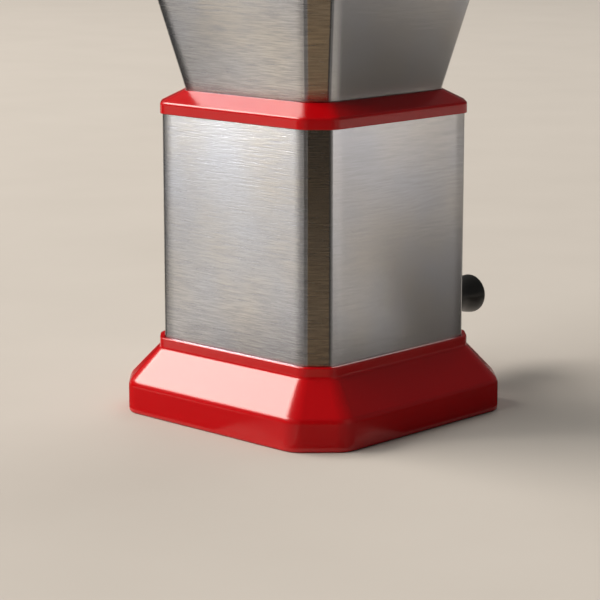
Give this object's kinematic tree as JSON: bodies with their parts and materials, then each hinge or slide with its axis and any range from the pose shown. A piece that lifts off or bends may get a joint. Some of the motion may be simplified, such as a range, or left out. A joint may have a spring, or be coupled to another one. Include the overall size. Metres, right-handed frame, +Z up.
{
  "type": "dry fruit slicer",
  "caption": "Hand-cranked dry fruit slicer: steel tower with a flared hopper, bladed drum turned by a side crank, red plastic collar, lid and slice tray.",
  "frame": {"origin": "centre of the tray's flat underside, on the tower's vertical axis", "axes": "+Z up, +X towards the crank, +Y to the back, so that the pictured corner is at -X and -Y"},
  "size_m": [0.1667, 0.1244, 0.2387],
  "materials": {
    "red_abs": "glossy moulded ABS",
    "brushed_stainless": "fine brushed stainless sheet",
    "bright_steel": "bright plain steel",
    "white_nylon": "matt moulded nylon",
    "black_plastic": "satin moulded plastic"
  },
  "bodies": {
    "tray": {"base_tray": "red_abs"},
    "tower": {"body_sleeve": "brushed_stainless", "collar": "red_abs", "hopper": "brushed_stainless", "hopper_rim": "red_abs", "feed_chute": "white_nylon", "hopper_screws": "bright_steel", "cheek_left": "white_nylon", "cheek_right": "white_nylon", "bush_left": "black_plastic", "bush_right": "black_plastic", "front_guard": "white_nylon", "back_guard": "white_nylon", "blade_bar": "white_nylon", "fixed_blade": "bright_steel", "fixed_blade_screws": "bright_steel", "bar_screws": "bright_steel"},
    "crank": {"cutter_shaft": "bright_steel", "cutter_drum": "white_nylon", "drum_pin": "bright_steel", "blade_1": "bright_steel", "blade_2": "bright_steel", "blade_3": "bright_steel", "blade_4": "bright_steel", "blade_screws": "bright_steel", "thrust_washers": "white_nylon", "crank_spacer": "white_nylon", "crank_arm": "bright_steel", "arm_washer": "bright_steel", "arm_nut": "bright_steel", "knob_spindle": "bright_steel", "knob_nut": "bright_steel"},
    "grip": {"knob_grip": "black_plastic", "knob_cap": "black_plastic"},
    "lid": {"lid": "red_abs", "lid_knob": "black_plastic", "lid_screw": "bright_steel"}
  },
  "joints": [
    {"name": "tower_lift", "type": "slide", "parent": "tray", "child": "tower", "axis": [0, 0, 1], "range_m": [0, 0.06]},
    {"name": "crank_turn", "type": "hinge", "parent": "tower", "child": "crank", "pos_m": [0, 0, 0.098], "axis": [-1, 0, 0], "continuous": true},
    {"name": "grip_turn", "type": "hinge", "parent": "crank", "child": "grip", "pos_m": [0.087, 0, 0.033], "axis": [1, 0, 0], "continuous": true},
    {"name": "lid_lift", "type": "slide", "parent": "tower", "child": "lid", "axis": [0, 0, 1], "range_m": [0, 0.05]}
  ]
}
